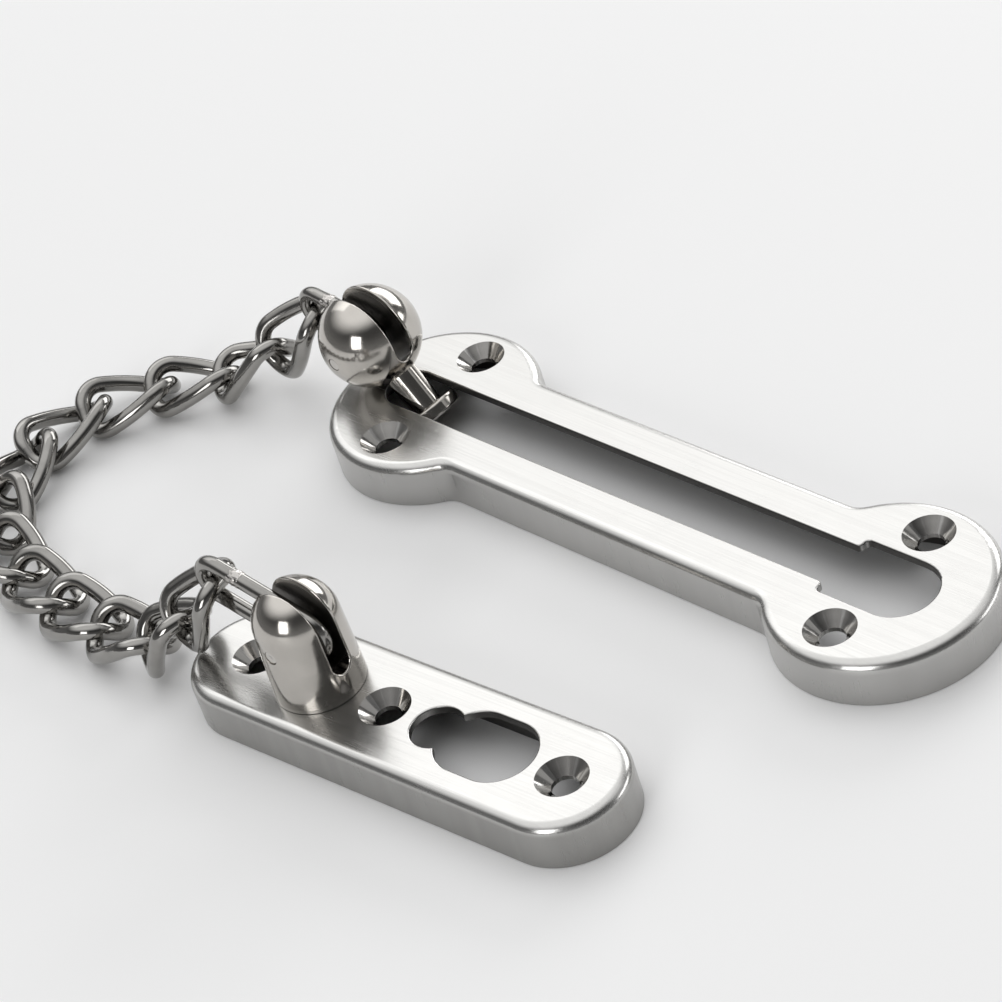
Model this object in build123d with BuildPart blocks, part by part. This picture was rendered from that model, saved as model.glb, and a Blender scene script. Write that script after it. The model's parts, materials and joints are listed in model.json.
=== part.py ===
from build123d import *
import math
import os

# A door chain: a pressed track plate with a keyhole slot, a ball knob that runs in
# the slot, a run of twisted links and a pressed anchor plate with a swivelling post.
# Origin: centre of the track plate's four screw holes, on the mounting surface.
# +X runs along the slot towards its keyhole, +Z away from the mounting surface.

# Pressed sheet plates
sheet = 1.4
plate_height = 8.5
plate_edge_r = 2.0
cut_edge_r = 0.35

# Countersunk screw seats
screw_hole_d = 4.6
countersink_d = 9.0
screw_land = 0.8

# Track plate
hole_pitch_x = 105.5
hole_pitch_y = 25.3
lobe_r = 20.0
waist_width = 25.8
neck_fillet_r = 4.0
slot_width = 9.5
slot_end_wall = 9.35
keyhole_width = 13.6
keyhole_length = 18.8
keyhole_step_land = 0.2

# Ball knob, leaning over the slot's closed end
ball_d = 19.0
ball_rest_gap = 0.25
knob_tilt = 38.0
neck_d = 6.0
neck_length = 7.05
flange_d = 11.3
flange_thick = 2.6
flange_edge_r = 0.6
knob_end_gap = 1.5
knob_slot_depth = 16.8

# Cross pins and the slots that they bridge
head_slot_width = 4.0
head_slot_edge_r = 0.3
pin_d = 2.5
pin_fit = 0.02

# Wire rings that join the chain to its two heads
ring_wire_d = 2.7
ring_width = 7.4
ring_play = 0.15
hook_slack = 0.1
knob_ring_reach = 16.9
knob_ring_rise = 6.0
anchor_ring_reach = 21.4
anchor_ring_back = 5.35
anchor_ring_rise = 15.0

# Twisted chain links
link_wire_d = 3.1
link_pitch = 13.4
link_end_play = 1.0
link_half_width = 5.4
link_twist = 42.0
link_bend_r = 4.1
link_leg_bow = 5.75
link_leg_r = 24.0
link_rest_gap = 0.2

# How the chain lies, link by link from the knob to the post: headings in degrees,
# rolls as shares of the twist, and shares of the way down to the surface and up again
headings = (-156, -151, -141, -125, -99, -70, -42, -19, -7, -1, 3, 10, 19)
roll_shares = (-0.86, 0.18, 0.1, 0, 0, 0, 0, 0, 0, 0, 0, 0.4, 0.84)
drop_shares = (0.62, 0.36, 0.02)
rise_shares = (0.08, 0.4, 0.52)

# Anchor plate, measured from its middle screw hole
anchor_yaw = 4.67
anchor_width = 23.8
anchor_back = 42.0
anchor_front = 49.0
anchor_hole_back = 29.5
anchor_hole_front = 38.0
park_small_x = 11.5
park_small_d = 9.3
park_wide_start = 12.7
park_wide_end = 31.3
park_wide_width = 13.6

# Swivelling post riveted through the anchor plate
post_back = 14.6
post_base_d = 16.0
post_base_land = 0.8
post_dome_d = 15.0
post_height = 21.2
post_slot_floor = 5.0
post_pin_height = 11.6
post_float = 0.1
shank_d = 8.0
shank_fit = 0.08
washer_d = 13.0
washer_thick = 1.0
rivet_d = 11.0
rivet_thick = 1.2

# Sizes that follow
slot_reach = hole_pitch_x / 2 + lobe_r - slot_end_wall
ball_r = ball_d / 2
neck_r = neck_d / 2
dimple_depth = (countersink_d - screw_hole_d) / 2 + screw_land
dimple_top_r = countersink_d / 2 - sheet + sheet * math.sqrt(2)
dimple_foot_r = dimple_top_r - (dimple_depth - sheet)


def pressed_plate(outline):
    """A pressed tray: rounded top edge, even sheet thickness, open underneath."""
    with BuildPart() as hollow:
        with BuildSketch():
            offset(outline, amount=-sheet)
        extrude(amount=plate_height - sheet)
        fillet(hollow.faces().sort_by(Axis.Z)[-1].edges(), plate_edge_r - sheet)
    with BuildPart() as tray:
        with BuildSketch():
            add(outline)
        extrude(amount=plate_height)
        fillet(tray.faces().sort_by(Axis.Z)[-1].edges(), plate_edge_r)
        add(hollow.part, mode=Mode.SUBTRACT)
    return tray.part


def cut_slot(tray, outline):
    """Cut an outline through the top of a tray and break its upper edge."""
    with BuildPart() as slotted:
        add(tray)
        with BuildSketch():
            add(outline)
        extrude(amount=plate_height, mode=Mode.SUBTRACT)
        rims = slotted.faces().sort_by(Axis.Z)[-1].inner_wires()
        fillet(rims[0].edges(), cut_edge_r)
    return slotted.part


def screw_seat():
    """A pressed-in countersunk screw seat, hanging below the sheet it is cut through."""
    with Locations((0, 0, -dimple_depth)):
        Cone(dimple_foot_r, dimple_top_r, dimple_depth - sheet, align=(Align.CENTER, Align.CENTER, Align.MIN))
    CounterSinkHole(screw_hole_d / 2, countersink_d / 2, depth=dimple_depth, counter_sink_angle=90)


def side_plane(plane):
    """The plane's own XZ, for profiles that turn about its Z."""
    return Plane(plane.origin, x_dir=plane.x_dir, z_dir=-plane.y_dir)


def pin_plane(plane, height=0.0):
    """A plane across the head, looking along its cross pin."""
    return Plane(plane.origin + plane.z_dir * height, x_dir=plane.x_dir, z_dir=plane.y_dir)


def head_slot(plane, floor, height):
    """A round-bottomed slot through a head, open upwards and to both sides."""
    with BuildSketch(Plane(plane.origin, x_dir=plane.y_dir, z_dir=plane.x_dir)) as opening:
        with Locations((0, floor + head_slot_width / 2)):
            Circle(head_slot_width / 2)
            Rectangle(head_slot_width, height, align=(Align.CENTER, Align.MIN))
    extrude(opening.sketch, amount=height, both=True, mode=Mode.SUBTRACT)


def wire_ring(plane, back, reach):
    """A welded oval ring in the plane's XZ, from back past its pin to reach along -X."""
    half = ring_width / 2
    with BuildPart() as ring:
        with BuildLine(side_plane(plane)) as oval:
            top = Line((back - half, half), (half - reach, half))
            far = CenterArc((half - reach, 0), half, 90, 180)
            Line(far @ 1, (back - half, -half))
            CenterArc((back - half, 0), half, 270, 180)
        with BuildSketch(Plane(top @ 0, z_dir=top % 0)):
            Circle(ring_wire_d / 2)
        sweep(path=oval.wire())
    return ring.part


os.makedirs("parts", exist_ok=True)

# Track plate: two round lobes joined by a waist, with a long keyhole slot
with BuildSketch() as track_outline:
    with GridLocations(hole_pitch_x, 0, 2, 1):
        Circle(lobe_r)
    Rectangle(hole_pitch_x, waist_width)
    fillet(track_outline.vertices(), neck_fillet_r)

slot_centre = slot_reach - slot_width / 2
keyhole_centre = slot_reach - keyhole_width / 2
keyhole_step = slot_reach - keyhole_length
keyhole_step_r = ((keyhole_width - slot_width) / 2 - keyhole_step_land) / 2
with BuildSketch() as slot_outline:
    with Locations((-slot_centre, 0)):
        Circle(slot_width / 2)
        Rectangle(slot_centre + keyhole_centre, slot_width, align=(Align.MIN, Align.CENTER))
    with Locations((keyhole_centre, 0)):
        Circle(keyhole_width / 2)
        Rectangle(keyhole_centre - keyhole_step, keyhole_width, align=(Align.MAX, Align.CENTER))
    corners = slot_outline.vertices().sort_by_distance((keyhole_step, 0))[:4]
    fillet(corners, keyhole_step_r)

with BuildPart() as track_plate:
    add(cut_slot(pressed_plate(track_outline.sketch), slot_outline.sketch))
    with Locations(Plane.XY.offset(plate_height)):
        with GridLocations(hole_pitch_x, hole_pitch_y, 2, 2):
            screw_seat()
track_plate.part.label = "track_plate"
export_step(track_plate.part, "parts/track_plate.step")

# Ball knob: slotted ball, neck through the slot, flange under the sheet
tilt = math.radians(knob_tilt)
ball_z = plate_height + ball_r + ball_rest_gap
ball_x = -slot_reach + knob_end_gap + neck_r / math.cos(tilt) - (ball_z - plate_height) * math.tan(tilt)
knob_plane = Plane(
    (ball_x, 0, ball_z),
    x_dir=(math.cos(tilt), 0, math.sin(tilt)),
    z_dir=(-math.sin(tilt), 0, math.cos(tilt)),
)
with BuildPart(knob_plane) as ball_knob:
    with Locations((0, 0, -ball_r - neck_length - flange_thick)):
        Cylinder(flange_d / 2, flange_thick, align=(Align.CENTER, Align.CENTER, Align.MIN))
    fillet(ball_knob.edges(), flange_edge_r)
    Cylinder(neck_r, ball_r + neck_length, align=(Align.CENTER, Align.CENTER, Align.MAX))
    Sphere(ball_r)
    head_slot(knob_plane, ball_r - knob_slot_depth, ball_d)
    fillet(ball_knob.edges(Select.LAST).filter_by(GeomType.LINE, reverse=True), head_slot_edge_r)
    with Locations(pin_plane(Plane.XY)):
        Hole(pin_d / 2 + pin_fit)
ball_knob.part.label = "ball_knob"
export_step(ball_knob.part, "parts/ball_knob.step")

with BuildPart(pin_plane(knob_plane)) as knob_pin:
    Cylinder(pin_d / 2, ball_d)
    Sphere(ball_r, mode=Mode.INTERSECT)
knob_pin.part.label = "knob_pin"
export_step(knob_pin.part, "parts/knob_pin.step")

# Knob ring: hangs on the knob's cross pin and points away from the keyhole
knob_rise = math.radians(knob_ring_rise)
knob_ring_plane = Plane(
    knob_plane.origin,
    x_dir=(math.cos(knob_rise), 0, -math.sin(knob_rise)),
    z_dir=(math.sin(knob_rise), 0, math.cos(knob_rise)),
)
knob_ring = wire_ring(knob_ring_plane, (pin_d + ring_wire_d) / 2 + ring_play, knob_ring_reach)
knob_ring.label = "knob_ring"
export_step(knob_ring, "parts/knob_ring.step")

# One twisted link: half of its wire, and the same half turned over
link_half_length = (link_pitch + link_wire_d + link_end_play) / 2
link_wide = link_half_width * math.cos(math.radians(link_twist))
link_tall = link_half_width * math.sin(math.radians(link_twist))
with BuildPart() as link:
    with BuildLine() as half_link:
        FilletPolyline(
            (-link_half_length, 0, 0),
            (-link_half_length, link_wide, link_tall),
            (0, link_leg_bow, 0),
            (link_half_length, link_wide, -link_tall),
            (link_half_length, 0, 0),
            radius=(link_bend_r, link_leg_r, link_bend_r),
        )
    with BuildSketch(Plane(half_link.line @ 0, z_dir=half_link.line % 0)):
        Circle(link_wire_d / 2)
    sweep(path=half_link.line)
    add(link.part, rotation=(180, 0, 0))

# The chain: from the knob ring down to the surface, round, and up to the post's ring
chain_level = link.part.bounding_box().max.Z + link_rest_gap
hook_overrun = link_half_length - link_pitch / 2
knob_hook = knob_ring_plane.from_local_coords((ring_width / 2 - hook_slack - knob_ring_reach, 0, 0))
anchor_rise = math.radians(anchor_ring_rise)
post_pin_z = plate_height + post_pin_height
anchor_hook_reach = anchor_ring_reach - ring_width / 2 + hook_slack
anchor_hook_z = post_pin_z + anchor_hook_reach * math.sin(anchor_rise)

climbs = [0.0] * len(headings)
for index, share in enumerate(drop_shares):
    climbs[index] = -share * (knob_hook.Z - chain_level)
for index, share in enumerate(reversed(rise_shares)):
    climbs[-1 - index] = share * (anchor_hook_z - chain_level)

chain_end = knob_hook
for index, heading in enumerate(headings):
    is_end = index in (0, len(headings) - 1)
    stride = link_pitch + hook_overrun if is_end else link_pitch
    run = math.sqrt(stride**2 - climbs[index] ** 2)
    step = Vector(run, 0, climbs[index]).rotate(Axis.Z, heading)
    along = step.normalized()
    level = Vector(0, 0, 1).cross(along).normalized()
    upright = along.cross(level).rotate(Axis((0, 0, 0), along), roll_shares[index] * link_twist)
    middle = chain_end + along * (link_half_length if index == 0 else link_pitch / 2)
    with BuildPart(Plane(middle, x_dir=along, z_dir=upright)) as chain_link:
        add(link.part)
    chain_link.part.label = f"chain_link_{index + 1:02d}"
    export_step(chain_link.part, f"parts/chain_link_{index + 1:02d}.step")
    chain_end = chain_end + step

# Anchor ring: the chain's last link hooks its end, the post's cross pin holds the other
yaw = math.radians(anchor_yaw)
anchor_x = Vector(math.cos(yaw), math.sin(yaw), 0)
anchor_ring_x = anchor_x * math.cos(anchor_rise) - Vector(0, 0, math.sin(anchor_rise))
post_pin_centre = chain_end + anchor_ring_x * anchor_hook_reach
anchor_ring_plane = Plane(
    post_pin_centre,
    x_dir=anchor_ring_x,
    z_dir=anchor_x * math.sin(anchor_rise) + Vector(0, 0, math.cos(anchor_rise)),
)
anchor_ring = wire_ring(anchor_ring_plane, anchor_ring_back, anchor_ring_reach)
anchor_ring.label = "anchor_ring"
export_step(anchor_ring, "parts/anchor_ring.step")

# Anchor plate: a round-ended tray with three screw seats and a parking keyhole
anchor_plane = Plane(
    (post_pin_centre.X + post_back * anchor_x.X, post_pin_centre.Y + post_back * anchor_x.Y, 0),
    x_dir=anchor_x,
    z_dir=(0, 0, 1),
)
with BuildSketch() as anchor_outline:
    with Locations(((anchor_front - anchor_back) / 2, 0)):
        SlotOverall(anchor_front + anchor_back, anchor_width)

with BuildSketch() as park_outline:
    with Locations(((park_wide_start + park_wide_end) / 2, 0)):
        SlotOverall(park_wide_end - park_wide_start, park_wide_width)
    with Locations((park_small_x, 0)):
        Circle(park_small_d / 2)

with BuildPart(anchor_plane) as anchor_plate:
    add(cut_slot(pressed_plate(anchor_outline.sketch), park_outline.sketch))
    with Locations(Plane.XY.offset(plate_height)):
        with Locations((-anchor_hole_back, 0), (0, 0), (anchor_hole_front, 0)):
            screw_seat()
        with Locations((-post_back, 0)):
            Hole(shank_d / 2 + shank_fit)
anchor_plate.part.label = "anchor_plate"
export_step(anchor_plate.part, "parts/anchor_plate.step")

# Post: domed, slotted head on a shank that is riveted over a washer under the sheet
post_plane = Plane(
    (post_pin_centre.X, post_pin_centre.Y, plate_height),
    x_dir=anchor_x,
    z_dir=(0, 0, 1),
)
washer_foot = -sheet - washer_thick
dome_r = post_dome_d / 2
dome_z = post_height - dome_r
with BuildPart() as post_blank:
    with BuildSketch(side_plane(post_plane)):
        with BuildLine():
            dome = CenterArc((0, dome_z), dome_r, 0, 90)
            Polyline(
                dome @ 1,
                (0, washer_foot - post_float - rivet_thick),
                (rivet_d / 2, washer_foot - post_float - rivet_thick),
                (rivet_d / 2, washer_foot - post_float),
                (shank_d / 2, washer_foot - post_float),
                (shank_d / 2, post_float),
                (post_base_d / 2, post_float),
                (post_base_d / 2, post_base_land),
                dome @ 0,
            )
        make_face()
    revolve(axis=Axis(post_plane.origin, post_plane.z_dir))

with BuildPart() as anchor_post:
    add(post_blank.part)
    head_slot(post_plane, post_slot_floor, post_height)
    fillet(anchor_post.edges(Select.LAST).filter_by(GeomType.LINE, reverse=True), head_slot_edge_r)
    with Locations(pin_plane(post_plane, post_pin_height)):
        Hole(pin_d / 2 + pin_fit)
anchor_post.part.label = "anchor_post"
export_step(anchor_post.part, "parts/anchor_post.step")

with BuildPart() as post_pin:
    with Locations(pin_plane(post_plane, post_pin_height)):
        Cylinder(pin_d / 2, post_base_d)
    add(post_blank.part, mode=Mode.INTERSECT)
post_pin.part.label = "post_pin"
export_step(post_pin.part, "parts/post_pin.step")

with BuildPart(post_plane.offset(washer_foot)) as post_washer:
    Cylinder(washer_d / 2, washer_thick, align=(Align.CENTER, Align.CENTER, Align.MIN))
    Hole(shank_d / 2 + shank_fit)
post_washer.part.label = "post_washer"
export_step(post_washer.part, "parts/post_washer.step")
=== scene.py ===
import json
import logging
import math
from collections.abc import Callable
from dataclasses import dataclass
from enum import Enum

import bpy
from mathutils import Matrix, Vector


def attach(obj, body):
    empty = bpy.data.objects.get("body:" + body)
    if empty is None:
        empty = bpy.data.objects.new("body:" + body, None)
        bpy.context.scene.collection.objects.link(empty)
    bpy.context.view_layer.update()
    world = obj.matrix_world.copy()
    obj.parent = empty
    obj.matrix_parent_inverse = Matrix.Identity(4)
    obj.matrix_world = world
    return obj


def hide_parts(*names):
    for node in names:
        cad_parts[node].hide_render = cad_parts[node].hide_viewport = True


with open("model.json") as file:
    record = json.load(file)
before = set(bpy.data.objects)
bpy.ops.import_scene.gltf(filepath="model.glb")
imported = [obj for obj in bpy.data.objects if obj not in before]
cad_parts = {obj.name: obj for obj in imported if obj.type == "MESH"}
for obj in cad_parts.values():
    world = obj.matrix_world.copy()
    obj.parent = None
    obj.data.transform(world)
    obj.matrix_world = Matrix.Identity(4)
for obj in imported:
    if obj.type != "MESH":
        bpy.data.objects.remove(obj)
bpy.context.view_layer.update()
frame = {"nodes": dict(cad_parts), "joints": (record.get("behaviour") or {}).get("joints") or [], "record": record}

log = logging.getLogger("door_chain")
Colour = tuple[float, float, float]
Point = tuple[float, float, float]
Span = tuple[float, float]
MM = 0.001
ORIGIN: Point = (0.0, 0.0, 0.0)
FLATTEN: Point = (1.0, 1.0, 0.0)
UP = Vector((0.0, 0.0, 1.0))
RISE: Span = (0.0, 1.0)
FALL: Span = (1.0, 0.0)


class Socket(Enum):
    """Socket types of the shared shader groups."""

    VALUE = "NodeSocketFloat"
    VECTOR = "NodeSocketVector"


class Place(Enum):
    """Coordinates that the finishes and the room read."""

    OBJECT = "Object"
    NORMAL = "Normal"
    ROOM = "Generated"


class Slot(Enum):
    """Material slots of the record that the new pieces take their finish from."""

    PIN = "pin"
    WIRE = "polished_wire"


class NodeGraph:
    """A small helper that adds and links shader nodes in one tree."""

    MEASURES = ("DOT_PRODUCT", "DISTANCE", "LENGTH")

    def __init__(self, tree: bpy.types.NodeTree) -> None:
        """Keep the tree that the nodes go into."""
        self.tree = tree

    def add(self, kind: str, **settings: object) -> bpy.types.Node:
        """Add a node and set its properties.

        Args:
            kind: The node's type name.
            settings: Properties of the node by name.

        Returns:
            The new node.
        """
        node = self.tree.nodes.new(kind)
        for name, value in settings.items():
            setattr(node, name, value)
        return node

    def feed(self, source: bpy.types.NodeSocket, target: bpy.types.NodeSocket) -> None:
        """Link one socket to another."""
        self.tree.links.new(source, target)

    def give(self, value: object, target: bpy.types.NodeSocket) -> None:
        """Link a socket, or set a number, on another socket.

        Args:
            value: A socket, a number, a vector or a colour.
            target: The socket that takes it.
        """
        if isinstance(value, bpy.types.NodeSocket):
            self.feed(value, target)
        else:
            target.default_value = value

    def coordinates(self, place: Place) -> bpy.types.NodeSocket:
        """Read one kind of coordinates."""
        return self.add("ShaderNodeTexCoord").outputs[place.value]

    def math(self, operation: str, first: object, second: object = 0.0) -> bpy.types.NodeSocket:
        """Add a Math node on two values or sockets.

        Args:
            operation: The Math node's operation.
            first: A socket or a number.
            second: A socket or a number.

        Returns:
            The node's value socket.
        """
        node = self.add("ShaderNodeMath", operation=operation)
        self.give(first, node.inputs[0])
        self.give(second, node.inputs[1])
        return node.outputs[0]

    def vector(self, operation: str, first: object, second: object = ORIGIN) -> bpy.types.NodeSocket:
        """Add a Vector Math node on vectors or sockets.

        Args:
            operation: The node's operation.
            first: A socket or a vector.
            second: A socket or a vector, where the operation takes two.

        Returns:
            The value's socket of a measure, and the vector's of anything else.
        """
        node = self.add("ShaderNodeVectorMath", operation=operation)
        self.give(first, node.inputs[0])
        self.give(second, node.inputs[1])
        return node.outputs["Value" if operation in self.MEASURES else "Vector"]

    def scaled(self, vector: object, factor: bpy.types.NodeSocket) -> bpy.types.NodeSocket:
        """Scale a vector by a value.

        Args:
            vector: A socket or a vector.
            factor: The value's socket.

        Returns:
            The scaled vector's socket.
        """
        node = self.add("ShaderNodeVectorMath", operation="SCALE")
        self.give(vector, node.inputs[0])
        self.feed(factor, node.inputs["Scale"])
        return node.outputs["Vector"]

    def plan(self, place: bpy.types.NodeSocket) -> bpy.types.NodeSocket:
        """Flatten coordinates onto the mounting surface."""
        return self.vector("MULTIPLY", place, FLATTEN)

    def height(self, vector: bpy.types.NodeSocket) -> bpy.types.NodeSocket:
        """Take the upright part of a vector.

        Args:
            vector: The vector's socket.

        Returns:
            The socket of its Z.
        """
        parts = self.add("ShaderNodeSeparateXYZ")
        self.feed(vector, parts.inputs[0])
        return parts.outputs["Z"]

    def ramp(self, value: bpy.types.NodeSocket, span: Span, result: Span) -> bpy.types.NodeSocket:
        """Map a value from one span to another, eased and held at both ends.

        Args:
            value: The socket that is read.
            span: Lowest and highest value read.
            result: Values given for them.

        Returns:
            The mapped value's socket.
        """
        node = self.add("ShaderNodeMapRange", interpolation_type="SMOOTHSTEP")
        self.feed(value, node.inputs["Value"])
        for label, number in zip(("From Min", "From Max", "To Min", "To Max"), (*span, *result)):
            node.inputs[label].default_value = number
        return node.outputs["Result"]

    def blend(self, mask: bpy.types.NodeSocket, first: object, second: object) -> bpy.types.NodeSocket:
        """Blend two values by a mask.

        Args:
            mask: Nought gives the first value, one the second.
            first: A socket or a number.
            second: A socket or a number.

        Returns:
            The blended value's socket.
        """
        node = self.add("ShaderNodeMix", data_type="FLOAT")
        self.feed(mask, node.inputs["Factor"])
        self.give(first, node.inputs["A"])
        self.give(second, node.inputs["B"])
        return node.outputs["Result"]

    def tint(self, mask: bpy.types.NodeSocket, first: object, second: object) -> bpy.types.NodeSocket:
        """Blend a colour into another by a mask.

        Args:
            mask: Nought gives the first colour, one the second.
            first: A colour or a colour socket.
            second: A colour or a colour socket.

        Returns:
            The blended colour's socket.
        """
        node = self.add("ShaderNodeMix", data_type="RGBA")
        colour_a, colour_b = [slot for slot in node.inputs if slot.type == "RGBA"]
        self.feed(mask, node.inputs["Factor"])
        for colour, socket in ((first, colour_a), (second, colour_b)):
            self.give(colour if isinstance(colour, bpy.types.NodeSocket) else (*colour, 1.0), socket)
        return next(slot for slot in node.outputs if slot.type == "RGBA")

    def noise(
        self,
        vector: bpy.types.NodeSocket,
        scale: Point,
        turn: float = 0.0,
        detail: float = 2.0,
    ) -> bpy.types.NodeSocket:
        """Noise on a stretched copy of some coordinates.

        Args:
            vector: The coordinates.
            scale: Waves a metre along each axis.
            turn: Turn about Z in radians, taken before the stretch.
            detail: Octaves of the noise.

        Returns:
            The noise value's socket.
        """
        turned = self.add("ShaderNodeVectorRotate", rotation_type="Z_AXIS")
        turned.inputs["Angle"].default_value = -turn
        self.feed(vector, turned.inputs["Vector"])
        noise = self.add("ShaderNodeTexNoise")
        noise.inputs["Scale"].default_value = 1.0
        noise.inputs["Detail"].default_value = detail
        self.feed(self.vector("MULTIPLY", turned.outputs[0], scale), noise.inputs["Vector"])
        return noise.outputs["Fac"]


class SharedEffects:
    """Shader groups that more than one finish uses, each built once. Scales are waves a metre."""

    BRUSH = "brushed_grain"
    FLAT_GRAIN: Point = (45.0, 5200.0, 5200.0)
    FLAT_BAND: Point = (14.0, 700.0, 700.0)
    SKIRT_GRAIN: Point = (3600.0, 3600.0, 50.0)
    SKIRT_BAND: Point = (320.0, 320.0, 25.0)
    SKIRT_SLOPE: Span = (0.10, 0.60)
    GRAIN_DETAIL = 3.0

    MARKS = "handling_marks"
    SMEAR: Point = (160.0, 160.0, 160.0)
    SMEAR_DETAIL = 4.0
    SMEAR_SPAN: Span = (0.35, 0.70)
    SCRATCH: Point = (240.0, 3600.0, 900.0)
    SCRATCH_TURN = 0.6
    CROSS_SCRATCH: Point = (2800.0, 300.0, 1200.0)
    CROSS_TURN = -0.4
    SCRATCH_SPAN: Span = (0.60, 0.78)
    RIPPLE: Point = (420.0, 420.0, 420.0)
    RIPPLE_DETAIL = 3.0

    @staticmethod
    def _group(
        name: str, setting: str, value: float, outputs: tuple[str, ...]
    ) -> tuple[NodeGraph, bpy.types.Node, bpy.types.Node]:
        """Make an empty group with a coordinate input, one setting and values out.

        Args:
            name: The group's name.
            setting: Name of the value input.
            value: The setting's default.
            outputs: Names of the value outputs.

        Returns:
            The group's graph, its input node and its output node.
        """
        tree = bpy.data.node_groups.new(name, "ShaderNodeTree")
        tree.interface.new_socket("Place", in_out="INPUT", socket_type=Socket.VECTOR.value)
        socket = tree.interface.new_socket(setting, in_out="INPUT", socket_type=Socket.VALUE.value)
        socket.default_value = value
        for label in outputs:
            tree.interface.new_socket(label, in_out="OUTPUT", socket_type=Socket.VALUE.value)
        graph = NodeGraph(tree)
        return graph, graph.add("NodeGroupInput"), graph.add("NodeGroupOutput")

    @classmethod
    def brushed_grain(cls) -> bpy.types.NodeTree:
        """Fine brush lines: along the plate on its flats, upright on its skirt.

        Returns:
            The group, with outputs Grain, Broad and Skirt.
        """
        found = bpy.data.node_groups.get(cls.BRUSH)
        if found:
            return found
        graph, given, result = cls._group(cls.BRUSH, "Turn", 0.0, ("Grain", "Broad", "Skirt"))
        turned = graph.add("ShaderNodeVectorRotate", rotation_type="Z_AXIS")
        graph.feed(given.outputs["Place"], turned.inputs["Vector"])
        graph.feed(given.outputs["Turn"], turned.inputs["Angle"])
        place = turned.outputs[0]
        facing = graph.math("ABSOLUTE", graph.height(graph.coordinates(Place.NORMAL)))
        skirt = graph.ramp(facing, cls.SKIRT_SLOPE, FALL)
        flat_grain = graph.noise(place, cls.FLAT_GRAIN, detail=cls.GRAIN_DETAIL)
        skirt_grain = graph.noise(place, cls.SKIRT_GRAIN, detail=cls.GRAIN_DETAIL)
        flat_band = graph.noise(place, cls.FLAT_BAND)
        skirt_band = graph.noise(place, cls.SKIRT_BAND)
        graph.feed(graph.blend(skirt, flat_grain, skirt_grain), result.inputs["Grain"])
        graph.feed(graph.blend(skirt, flat_band, skirt_band), result.inputs["Broad"])
        graph.feed(skirt, result.inputs["Skirt"])
        return graph.tree

    @classmethod
    def handling_marks(cls) -> bpy.types.NodeTree:
        """Soft smears and hairline scratches left by polishing and handling.

        Returns:
            The group, with outputs Smear, Scratch and Ripple.
        """
        found = bpy.data.node_groups.get(cls.MARKS)
        if found:
            return found
        graph, given, result = cls._group(cls.MARKS, "Scale", 1.0, ("Smear", "Scratch", "Ripple"))
        place = graph.scaled(given.outputs["Place"], given.outputs["Scale"])
        smear = graph.noise(place, cls.SMEAR, detail=cls.SMEAR_DETAIL)
        first = graph.noise(place, cls.SCRATCH, turn=cls.SCRATCH_TURN)
        second = graph.noise(place, cls.CROSS_SCRATCH, turn=cls.CROSS_TURN)
        crossed = graph.math("MAXIMUM", first, second)
        ripple = graph.noise(place, cls.RIPPLE, detail=cls.RIPPLE_DETAIL)
        graph.feed(graph.ramp(smear, cls.SMEAR_SPAN, RISE), result.inputs["Smear"])
        graph.feed(graph.ramp(crossed, cls.SCRATCH_SPAN, RISE), result.inputs["Scratch"])
        graph.feed(ripple, result.inputs["Ripple"])
        return graph.tree


@dataclass(frozen=True)
class Finish:
    """One metal finish: its name, colour, darker colour, roughness span, bump depth and mark scale."""

    name: str
    colour: Colour
    shade: Colour
    roughness: Span
    bump: float
    mark_scale: float = 1.0

    def _start(self) -> tuple[bpy.types.Material, NodeGraph, bpy.types.Node, bpy.types.NodeSocket]:
        """Make the material with its shader and object coordinates.

        Returns:
            The material, its graph, the shader and the coordinates.
        """
        material = bpy.data.materials.new(self.name)
        material.use_nodes = True
        graph = NodeGraph(material.node_tree)
        shader = material.node_tree.nodes["Principled BSDF"]
        shader.inputs["Metallic"].default_value = 1.0
        return material, graph, shader, graph.coordinates(Place.OBJECT)

    def _marks(self, graph: NodeGraph, place: bpy.types.NodeSocket) -> bpy.types.Node:
        """Place the handling marks.

        Args:
            graph: The material's graph.
            place: Object coordinates.

        Returns:
            The group's node, with outputs Smear, Scratch and Ripple.
        """
        marks = graph.add("ShaderNodeGroup", node_tree=SharedEffects.handling_marks())
        marks.inputs["Scale"].default_value = self.mark_scale
        graph.feed(place, marks.inputs["Place"])
        return marks

    def _emboss(self, graph: NodeGraph, shader: bpy.types.Node, height: bpy.types.NodeSocket) -> None:
        """Turn a height into the shader's normal.

        Args:
            graph: The material's graph.
            shader: The material's shader.
            height: The height, as a share of the finish's bump depth.
        """
        bump = graph.add("ShaderNodeBump")
        bump.inputs["Strength"].default_value = 1.0
        bump.inputs["Distance"].default_value = self.bump
        graph.feed(height, bump.inputs["Height"])
        graph.feed(bump.outputs["Normal"], shader.inputs["Normal"])


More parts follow.
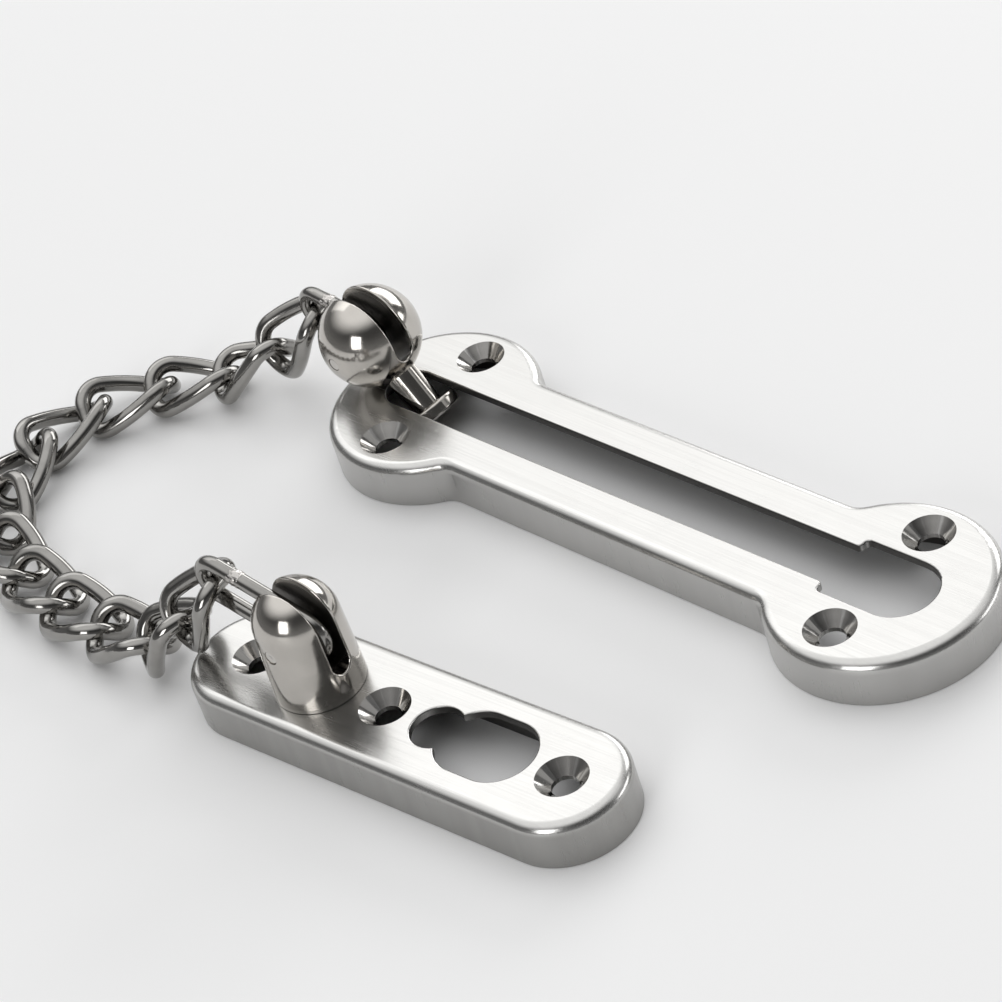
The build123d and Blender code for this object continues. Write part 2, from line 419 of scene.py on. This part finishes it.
@dataclass(frozen=True)
class SatinSteel(Finish):
    """Satin sheet: pale flats, faintly brushed, with painted shade on the skirt, painted shade and painted
    reflection streaks in the seats, and painted shade on the inside.
    """

    spine: tuple[Point, Point] = (ORIGIN, (1.0, 0.0, 0.0))
    grain_span: Span = (0.25, 0.75)
    streak_span: Span = (0.16, 0.36)
    streak_share: Span = (0.0, 0.7)
    smear_roughness: float = 0.03
    # Painted shade: the darker colour laid over the upright skirt.
    skirt: Colour = (0.46, 0.455, 0.445)
    skirt_span: Span = (0.30, 0.70)
    skirt_share: Span = (0.88, 1.0)
    seats: tuple[Point, ...] = ()
    # Painted shade: the darker colour laid in the countersunk seats.
    seat: Colour = (0.48, 0.468, 0.45)
    # Painted reflection: the bright streaks laid across the seats' cones.
    seat_painted_reflection: Colour = (0.82, 0.81, 0.79)
    seat_noise: Point = (4.0, 4.0, 4.0)
    seat_span: Span = (0.48, 0.64)
    seat_radius: float = 4.6 * MM
    seat_rim: float = 0.15 * MM
    seat_roughness: float = 0.14
    seat_search: float = 1.0
    # Painted shade: the near-black colour laid on the tray's inner walls, cut edges and underside.
    inside: Colour = (0.12, 0.117, 0.113)
    inside_facing: Span = (-0.85, -0.45)
    inside_roughness: float = 0.5
    under_facing: Span = (-0.6, -0.3)

    def material(self) -> bpy.types.Material:
        """Build the finish.

        Returns:
            The new material.
        """
        material, graph, shader, place = self._start()
        brush = self._brush(graph, place)
        grain = brush.outputs["Grain"]
        smear = self._marks(graph, place).outputs["Smear"]
        seat = self._seat_mask(graph, place)
        inside = self._inside_shade_mask(graph, place, seat)
        rough = graph.ramp(grain, self.grain_span, self.roughness)
        rough = graph.math("ADD", rough, graph.math("MULTIPLY", smear, self.smear_roughness))
        rough = graph.blend(seat, rough, self.seat_roughness)
        graph.feed(graph.blend(inside, rough, self.inside_roughness), shader.inputs["Roughness"])
        # The seats take painted shade and painted reflection streaks; the skirt's painted shade comes with the
        # sheet's colour.
        colour = graph.tint(seat, self._sheet_colour(graph, brush), self._seat_painted_light(graph))
        # Painted shade on the tray's inner walls, cut edges and underside.
        graph.feed(graph.tint(inside, colour, self.inside), shader.inputs["Base Color"])
        clear = graph.math("SUBTRACT", 1.0, graph.math("MAXIMUM", seat, inside))
        self._emboss(graph, shader, graph.math("MULTIPLY", grain, clear))
        return material

    def _brush(self, graph: NodeGraph, place: bpy.types.NodeSocket) -> bpy.types.Node:
        """Place the brushed grain, with its lines along the spine.

        Args:
            graph: The material's graph.
            place: Object coordinates.

        Returns:
            The group's node, with outputs Grain, Broad and Skirt.
        """
        way = Vector(self.spine[1]) - Vector(self.spine[0])
        brush = graph.add("ShaderNodeGroup", node_tree=SharedEffects.brushed_grain())
        brush.inputs["Turn"].default_value = -math.atan2(way.y, way.x)
        graph.feed(place, brush.inputs["Place"])
        return brush

    def _sheet_colour(self, graph: NodeGraph, brush: bpy.types.Node) -> bpy.types.NodeSocket:
        """Colour the flats and the skirt by their brush lines, and darken the skirt with painted shade.

        Args:
            graph: The material's graph.
            brush: The brushed grain's node.

        Returns:
            The colour's socket.
        """
        broad = brush.outputs["Broad"]
        streak = graph.math("MULTIPLY", brush.outputs["Grain"], broad)
        streak = graph.ramp(streak, self.streak_span, self.streak_share)
        lean = graph.ramp(broad, self.skirt_span, self.skirt_share)
        skirt = graph.math("MULTIPLY", brush.outputs["Skirt"], lean)
        # The skirt's colour is painted shade, blended in by how upright the faces are.
        return graph.tint(skirt, graph.tint(streak, self.colour, self.shade), self.skirt)

    def _seat_painted_light(self, graph: NodeGraph) -> bpy.types.NodeSocket:
        """Paint the countersunk seats with painted shade, streaked from rim to hole with painted reflections by
        the way that their cones face.
        """
        streak = graph.noise(graph.coordinates(Place.NORMAL), self.seat_noise)
        return graph.tint(graph.ramp(streak, self.seat_span, RISE), self.seat, self.seat_painted_reflection)

    def _seat_mask(self, graph: NodeGraph, place: bpy.types.NodeSocket) -> bpy.types.NodeSocket:
        """One inside the countersunk seats, measured in plan, and nought elsewhere.

        Args:
            graph: The material's graph.
            place: Object coordinates.

        Returns:
            The mask's socket.
        """
        plan = graph.plan(place)
        nearest: bpy.types.NodeSocket | float = self.seat_search
        for x, y, _ in self.seats:
            away = graph.vector("DISTANCE", plan, (x, y, 0.0))
            nearest = graph.math("MINIMUM", away, nearest)
        return graph.ramp(nearest, (self.seat_radius - self.seat_rim, self.seat_radius), FALL)

    def _inside_shade_mask(
        self,
        graph: NodeGraph,
        place: bpy.types.NodeSocket,
        seat: bpy.types.NodeSocket,
    ) -> bpy.types.NodeSocket:
        """Where painted shade goes: one on the tray's inner walls, cut edges and underside, and nought on its
        outside.

        Args:
            graph: The material's graph.
            place: Object coordinates.
            seat: The countersunk seats' mask, which stays clear.

        Returns:
            The mask's socket.
        """
        start, end = (Vector((x, y, 0.0)) for x, y, _ in self.spine)
        length = (end - start).length
        along = (end - start) / length
        normal = graph.coordinates(Place.NORMAL)
        offset = graph.vector("SUBTRACT", graph.plan(place), tuple(start))
        run = graph.vector("DOT_PRODUCT", offset, tuple(along))
        held = graph.math("MINIMUM", graph.math("MAXIMUM", run, 0.0), length)
        away = graph.vector("SUBTRACT", offset, graph.scaled(tuple(along), held))
        facing = graph.vector("DOT_PRODUCT", graph.vector("NORMALIZE", away), normal)
        inward = graph.ramp(facing, self.inside_facing, FALL)
        under = graph.ramp(graph.height(normal), self.under_facing, FALL)
        clear = graph.math("SUBTRACT", 1.0, seat)
        return graph.math("MAXIMUM", graph.math("MULTIPLY", inward, clear), under)


@dataclass(frozen=True)
class PolishedSteel(Finish):
    """Bright, slightly rippled polish with smears and hairlines."""

    scratch_roughness: float = 0.06
    smear_shade: float = 0.5

    def material(self) -> bpy.types.Material:
        """Build the finish.

        Returns:
            The new material.
        """
        material, graph, shader, place = self._start()
        rough, colour, ripple = self._polish(graph, place)
        graph.feed(rough, shader.inputs["Roughness"])
        graph.feed(colour, shader.inputs["Base Color"])
        self._emboss(graph, shader, ripple)
        return material

    def _polish(self, graph: NodeGraph, place: bpy.types.NodeSocket) -> tuple[bpy.types.NodeSocket, ...]:
        """Lay the polish and its marks.

        Args:
            graph: The material's graph.
            place: Object coordinates.

        Returns:
            The roughness, the colour and the ripple's height.
        """
        marks = self._marks(graph, place)
        scratch = graph.math("MULTIPLY", marks.outputs["Scratch"], self.scratch_roughness)
        rough = graph.math("ADD", graph.ramp(marks.outputs["Smear"], RISE, self.roughness), scratch)
        shaded = graph.math("MULTIPLY", marks.outputs["Smear"], self.smear_shade)
        return rough, graph.tint(shaded, self.colour, self.shade), marks.outputs["Ripple"]


@dataclass(frozen=True)
class SlottedHead(PolishedSteel):
    """The polish of a slotted head, with the slot's walls left dull and darkened with painted shade."""

    joint: str = ""
    slot_half: float = 2.0 * MM
    slot_rim: Span = (0.024 * MM, 0.12 * MM)
    slot_reach: float = 9.2 * MM
    slot_fade: float = 1.2 * MM
    # Painted shade: the dark colour laid on the slot's walls around the cross pin.
    slot_painted_shade: Colour = (0.15, 0.143, 0.135)
    sawn_roughness: float = 0.32

    def _polish(self, graph: NodeGraph, place: bpy.types.NodeSocket) -> tuple[bpy.types.NodeSocket, ...]:
        """Lay the polish, and dull it and darken it with painted shade inside the slot around the cross pin.

        Args:
            graph: The material's graph.
            place: Object coordinates.

        Returns:
            The roughness, the colour and the ripple's height.
        """
        rough, colour, ripple = super()._polish(graph, place)
        offset = graph.vector("SUBTRACT", place, tuple(joint_place(self.joint)))
        across = graph.math("ABSOLUTE", graph.vector("DOT_PRODUCT", offset, tuple(joint_axis(self.joint))))
        walls = (self.slot_half + self.slot_rim[0], self.slot_half + self.slot_rim[1])
        mouth = (self.slot_reach - self.slot_fade, self.slot_reach)
        between = graph.ramp(across, walls, FALL)
        near = graph.ramp(graph.vector("LENGTH", offset), mouth, FALL)
        slot = graph.math("MULTIPLY", between, near)
        # Painted shade in the slot, together with duller roughness.
        return graph.blend(slot, rough, self.sawn_roughness), graph.tint(slot, colour, self.slot_painted_shade), ripple


@dataclass(frozen=True)
class PhotoCamera:
    """The camera at the photograph's viewing angle, in metres in the part's frame."""

    place: Point = (0.36463, -0.27474, 0.36275)
    target: Point = (-0.02857, -0.00954, 0.0005)
    roll: float = -0.326
    focal_px: float = 3392.0
    frame_px: float = 1002.0
    sensor: float = 36.0
    clip: Span = (0.01, 20.0)

    def build(self) -> bpy.types.Object:
        """Add the camera and make it the scene's.

        Returns:
            The camera object.
        """
        data = bpy.data.cameras.new("photo_camera")
        data.sensor_width = self.sensor
        data.lens = self.focal_px / self.frame_px * self.sensor
        data.clip_start, data.clip_end = self.clip
        camera = bpy.data.objects.new("photo_camera", data)
        forward = (Vector(self.target) - Vector(self.place)).normalized()
        level = forward.cross(UP).normalized()
        upright = level.cross(forward)
        right = level * math.cos(self.roll) + upright * math.sin(self.roll)
        up = upright * math.cos(self.roll) - level * math.sin(self.roll)
        turn = Matrix((right, up, -forward)).transposed().to_4x4()
        camera.matrix_world = Matrix.Translation(Vector(self.place)) @ turn
        bpy.context.scene.collection.objects.link(camera)
        bpy.context.scene.camera = camera
        return camera


@dataclass(frozen=True)
class SoftBox:
    """One rectangular studio lamp that looks at the object."""

    name: str
    place: Point
    size: Span
    power: float
    aim: Point = (-0.02, -0.01, 0.0)

    def build(self) -> bpy.types.Object:
        """Add the lamp.

        Returns:
            The lamp object.
        """
        data = bpy.data.lights.new(self.name, "AREA")
        data.shape = "RECTANGLE"
        data.size, data.size_y = self.size
        data.energy = self.power
        lamp = bpy.data.objects.new(self.name, data)
        lamp.location = self.place
        way = Vector(self.aim) - Vector(self.place)
        lamp.rotation_mode = "QUATERNION"
        lamp.rotation_quaternion = way.to_track_quat("-Z", "Y")
        bpy.context.scene.collection.objects.link(lamp)
        return lamp


@dataclass(frozen=True)
class Studio:
    """The pale floor, the room and its soft lamps."""

    floor_size: float = 6.0
    floor_drop: float = 0.1 * MM
    floor_colour: Colour = (0.93, 0.93, 0.93)
    floor_roughness: float = 0.6
    overhead: float = 1.17
    horizon: float = 0.07
    dusk: Span = (0.48, 0.92)
    overhead_way: Point = (-0.25, 0.05, 0.967)
    wall: float = 0.14
    wall_height: Span = (0.05, 0.60)
    lamps: tuple[SoftBox, ...] = (
        SoftBox("left_softbox", (-0.99, 0.40, 0.80), (1.2, 0.9), 2.6),
        SoftBox("rear_softbox", (-0.40, 1.20, 0.45), (1.0, 0.5), 5.4),
        SoftBox("right_softbox", (0.76, 1.05, 0.31), (0.8, 0.28), 2.0),
        SoftBox("high_fill", (0.60, 0.83, 0.85), (0.8, 0.6), 0.6),
        SoftBox("front_softbox", (0.27, -0.97, 0.43), (0.40, 0.50), 2.6),
    )

    def build(self) -> None:
        """Add the floor, the room light and the lamps."""
        bpy.context.scene.view_settings.view_transform = "Standard"
        self._floor()
        self._room()
        for lamp in self.lamps:
            lamp.build()

    def _floor(self) -> None:
        """Add the pale floor."""
        bpy.ops.object.select_all(action="DESELECT")
        bpy.ops.mesh.primitive_plane_add(size=self.floor_size, location=(0.0, 0.0, -self.floor_drop))
        floor = bpy.context.active_object
        floor.name = "floor"
        material = bpy.data.materials.new("floor_paper")
        material.use_nodes = True
        shader = material.node_tree.nodes["Principled BSDF"]
        shader.inputs["Base Color"].default_value = (*self.floor_colour, 1.0)
        shader.inputs["Roughness"].default_value = self.floor_roughness
        floor.data.materials.append(material)

    def _room(self) -> None:
        """Give the world a soft light overhead, a little to the left, and dim walls."""
        world = bpy.data.worlds.new("studio_room")
        bpy.context.scene.world = world
        world.use_nodes = True
        graph = NodeGraph(world.node_tree)
        background = world.node_tree.nodes["Background"]
        way = graph.coordinates(Place.ROOM)
        facing = graph.vector("DOT_PRODUCT", way, self.overhead_way)
        above = graph.ramp(facing, self.dusk, (self.horizon, self.overhead))
        walls = graph.ramp(graph.height(way), self.wall_height, (self.wall, 0.0))
        graph.feed(graph.math("ADD", above, walls), background.inputs["Strength"])
        background.inputs["Color"].default_value = (1.0, 1.0, 1.0, 1.0)


class Workbench:
    """Modelling steps on one piece, through Blender's own operators."""

    END_FACING = 0.99
    SMOOTH_ANGLE = math.radians(40.0)

    @staticmethod
    def rod(name: str, radius: float, length: float, sides: int) -> bpy.types.Object:
        """Start a piece from a round bar along Z.

        Args:
            name: The piece's name.
            radius: The bar's radius.
            length: The bar's length.
            sides: Edges around the bar.

        Returns:
            The new piece.
        """
        bpy.ops.object.select_all(action="DESELECT")
        bpy.ops.mesh.primitive_cylinder_add(vertices=sides, radius=radius, depth=length)
        piece = bpy.context.active_object
        piece.name = name
        return piece

    @staticmethod
    def pick_faces(piece: bpy.types.Object, test: Callable[[bpy.types.MeshPolygon], bool]) -> None:
        """Enter edit mode with the faces that pass a test selected.

        Args:
            piece: The piece being shaped, which is active.
            test: Says whether a face is wanted.
        """
        bpy.ops.object.mode_set(mode="EDIT")
        bpy.ops.mesh.select_mode(type="FACE")
        bpy.ops.mesh.select_all(action="DESELECT")
        bpy.ops.object.mode_set(mode="OBJECT")
        for face in piece.data.polygons:
            face.select = test(face)
        bpy.ops.object.mode_set(mode="EDIT")

    @classmethod
    def is_end(cls, face: bpy.types.MeshPolygon) -> bool:
        """Whether a face closes an end of the bar."""
        return abs(face.normal.z) > cls.END_FACING

    @classmethod
    def round_ends(cls, piece: bpy.types.Object, offset: float, steps: int) -> None:
        """Round the edges of the bar's two ends.

        Args:
            piece: The bar, which is active.
            offset: How far the rounding reaches.
            steps: Segments of the rounding.
        """
        cls.pick_faces(piece, cls.is_end)
        bpy.ops.mesh.bevel(offset=offset, segments=steps, affect="EDGES")
        bpy.ops.object.mode_set(mode="OBJECT")

    @classmethod
    def settle(cls, piece: bpy.types.Object, place: Vector, axis: Vector) -> None:
        """Turn the bar onto an axis, move it to its place and smooth it.

        Args:
            piece: The piece, which is active and alone selected.
            place: Where its middle goes.
            axis: The direction that its length takes.
        """
        turn = UP.rotation_difference(axis).to_matrix().to_4x4()
        piece.matrix_world = Matrix.Translation(place) @ turn
        bpy.ops.object.transform_apply(location=True, rotation=True, scale=True)
        bpy.ops.object.shade_smooth_by_angle(angle=cls.SMOOTH_ANGLE)


def dress(node: str, material: bpy.types.Material) -> None:
    """Give a CAD node its finish.

    Args:
        node: The node's name.
        material: The finish.
    """
    slots = frame["nodes"][node].data.materials
    slots.clear()
    slots.append(material)
    log.info("dressed %s", node)


def joint_place(name: str) -> Vector:
    """Where a joint sits in the part's frame."""
    return Vector(next(joint["pos_m"] for joint in frame["joints"] if joint["name"] == name))


def joint_axis(name: str) -> Vector:
    """The direction of a joint's axis in the part's frame."""
    return Vector(next(joint["axis"] for joint in frame["joints"] if joint["name"] == name)).normalized()


def mount_place(name: str) -> Point:
    """Where a mount of the record sits in the part's frame."""
    return tuple(next(mount["pos_m"] for mount in frame["record"]["mounts"] if mount["name"] == name))


@dataclass(frozen=True)
class PressedPin:
    """A cross pin pressed through a head, its ends turned over, a little below the surface."""

    node: str
    body: str
    joint: str
    half_length: float
    radius: float = 1.25 * MM
    sides: int = 48
    edge: float = 0.22 * MM
    edge_steps: int = 4
    crown: float = 0.07 * MM
    crown_share: float = 0.3
    dimple: float = 0.10 * MM
    dimple_share: float = 0.2

    def build(self, material: bpy.types.Material) -> bpy.types.Object:
        """Model the pin on its joint's axis and put it in its node's stead.

        Args:
            material: The pin's finish.

        Returns:
            The finished pin.
        """
        piece = Workbench.rod(f"{self.node}_peened", self.radius, 2.0 * self.half_length, self.sides)
        Workbench.round_ends(piece, self.edge, self.edge_steps)
        Workbench.pick_faces(piece, Workbench.is_end)
        for share, rise in ((self.crown_share, self.crown), (self.dimple_share, -self.dimple)):
            bpy.ops.mesh.inset(thickness=share * self.radius, depth=rise, use_individual=True)
        bpy.ops.object.mode_set(mode="OBJECT")
        Workbench.settle(piece, joint_place(self.joint), joint_axis(self.joint))
        piece.data.materials.append(material)
        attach(piece, self.body)
        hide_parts(self.node)
        log.info("built %s", piece.name)
        return piece


@dataclass(frozen=True)
class ButtWeld:
    """The lumpy collar where a ring's wire was welded shut, on the ring's upper leg."""

    ring: str
    pin_joint: str
    hook_joint: str
    reach: float
    leg: float = 3.7 * MM
    wire_radius: float = 1.35 * MM
    upset: float = 0.05 * MM
    length: float = 3.6 * MM
    sides: int = 40
    fade: float = 0.9 * MM
    fade_steps: int = 6
    cuts: int = 5
    lump: float = 0.7 * MM
    lump_height: float = 0.45 * MM

    def build(self, material: bpy.types.Material) -> bpy.types.Object:
        """Model the weld along the leg's wire.

        Args:
            material: The weld's finish.

        Returns:
            The finished weld.
        """
        piece = Workbench.rod(f"{self.ring}_weld", self.wire_radius + self.upset, self.length, self.sides)
        Workbench.round_ends(piece, self.fade, self.fade_steps)
        Workbench.pick_faces(piece, lambda face: not Workbench.is_end(face))
        bpy.ops.mesh.subdivide(number_cuts=self.cuts)
        bpy.ops.object.mode_set(mode="OBJECT")
        self._raise_lumps(piece)
        pin = joint_place(self.pin_joint)
        out = (joint_place(self.hook_joint) - pin).normalized()
        rise = joint_axis(self.pin_joint).cross(out)
        rise = rise if rise.z > 0.0 else -rise
        Workbench.settle(piece, pin + out * self.reach + rise * self.leg, out)
        piece.data.materials.append(material)
        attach(piece, self.ring)
        log.info("built %s", piece.name)
        return piece

    def _raise_lumps(self, piece: bpy.types.Object) -> None:
        """Push the collar's skin in and out into lumps.

        Args:
            piece: The weld, which is active.
        """
        texture = bpy.data.textures.new(f"{piece.name}_lumps", "CLOUDS")
        texture.noise_scale = self.lump
        lumps = piece.modifiers.new("Lumps", "DISPLACE")
        lumps.texture = texture
        lumps.strength = self.lump_height
        bpy.ops.object.modifier_apply(modifier=lumps.name)


SATIN = ((0.60, 0.595, 0.58), (0.57, 0.565, 0.551), (0.20, 0.26), 0.003 * MM)
POLISH = ((0.54, 0.516, 0.482), (0.42, 0.40, 0.372), (0.11, 0.18), 0.016 * MM)
WIRE = PolishedSteel("polished_wire", (0.33, 0.322, 0.308), (0.23, 0.223, 0.212), (0.10, 0.18), 0.010 * MM)
WELD = PolishedSteel("weld_steel", (0.55, 0.53, 0.51), (0.36, 0.34, 0.32), (0.18, 0.34), 0.030 * MM)
PIN = PolishedSteel("pin_steel", (0.60, 0.58, 0.55), (0.46, 0.44, 0.42), (0.16, 0.26), 0.010 * MM)
WASHER = PolishedSteel("zinc_washer", (0.55, 0.55, 0.55), (0.45, 0.45, 0.46), (0.30, 0.42), 0.012 * MM)


@dataclass(frozen=True)
class TrackPlate:
    """The pressed track plate with its keyhole slot and four countersunk seats."""

    seat_x: float = 52.75 * MM
    seat_y: float = 12.65 * MM

    def build(self) -> None:
        """Dress the plate, with its grain along its length."""
        seats = tuple((x * self.seat_x, y * self.seat_y, 0.0) for x in (-1, 1) for y in (-1, 1))
        spine = ((-self.seat_x, 0.0, 0.0), (self.seat_x, 0.0, 0.0))
        dress("track_plate", SatinSteel("satin_track", *SATIN, spine=spine, seats=seats).material())


@dataclass(frozen=True)
class BallKnob:
    """The slotted ball knob, its cross pin and the ring that hangs on it."""

    head: SlottedHead = SlottedHead("polished_ball", *POLISH, joint="knob_ring_swing")
    pin: PressedPin = PressedPin("knob_pin", "ball_knob", "knob_ring_swing", 9.38 * MM)
    weld: ButtWeld = ButtWeld("knob_ring", "knob_ring_swing", "link_01_lift", 9.6 * MM)

    def build(self, wire: bpy.types.Material) -> None:
        """Dress the knob and its ring, and model the pin and the ring's weld.

        Args:
            wire: The polished wire finish.
        """
        dress("ball_knob", self.head.material())
        dress("knob_ring", wire)
        self.pin.build(PIN.material())
        self.weld.build(WELD.material())


@dataclass(frozen=True)
class TwistedChain:
    """The run of twisted links between the two rings."""

    count: int = 13

    def build(self, wire: bpy.types.Material) -> None:
        """Dress every link in the polished wire finish."""
        for index in range(1, self.count + 1):
            dress(f"chain_link_{index:02d}", wire)


@dataclass(frozen=True)
class AnchorPost:
    """The domed swivel post, its cross pin, washer and ring."""

    head: SlottedHead = SlottedHead("polished_post", *POLISH, joint="post_tilt")
    pin: PressedPin = PressedPin("post_pin", "anchor_post", "post_tilt", 7.46 * MM)
    weld: ButtWeld = ButtWeld("anchor_ring", "post_tilt", "anchor_ring_turn", 13.5 * MM)

    def build(self, wire: bpy.types.Material) -> None:
        """Dress the post, washer and ring, and model the pin and the ring's weld.

        The pin and the weld share the finishes that the ball knob's were given.

        Args:
            wire: The polished wire finish.
        """
        dress("anchor_post", self.head.material())
        dress("anchor_ring", wire)
        dress("post_washer", WASHER.material())
        self.pin.build(bpy.data.materials[PIN.name])
        self.weld.build(bpy.data.materials[WELD.name])


@dataclass(frozen=True)
class AnchorPlate:
    """The round-ended anchor plate with three countersunk seats and a parking keyhole."""

    seats: tuple[str, ...] = ("anchor_screw_back", "anchor_screw_middle", "anchor_screw_front")
    # Painted shade: a darker skirt colour than the track plate's.
    skirt: Colour = (0.345, 0.34, 0.33)

    def build(self) -> None:
        """Dress the plate, with its grain along its length."""
        seats = tuple(mount_place(name) for name in self.seats)
        spine = (seats[0], seats[-1])
        # The skirt colour passed here is painted shade.
        satin = SatinSteel("satin_anchor", *SATIN, spine=spine, seats=seats, skirt=self.skirt)
        dress("anchor_plate", satin.material())


def main() -> None:
    """Build the camera, the studio and every sub-assembly in order."""
    logging.basicConfig(level=logging.INFO, format="%(name)s: %(message)s")
    PhotoCamera().build()
    Studio().build()
    wire = WIRE.material()
    TrackPlate().build()
    BallKnob().build(wire)
    TwistedChain().build(wire)
    AnchorPost().build(wire)
    AnchorPlate().build()


if __name__ == "__main__":
    main()
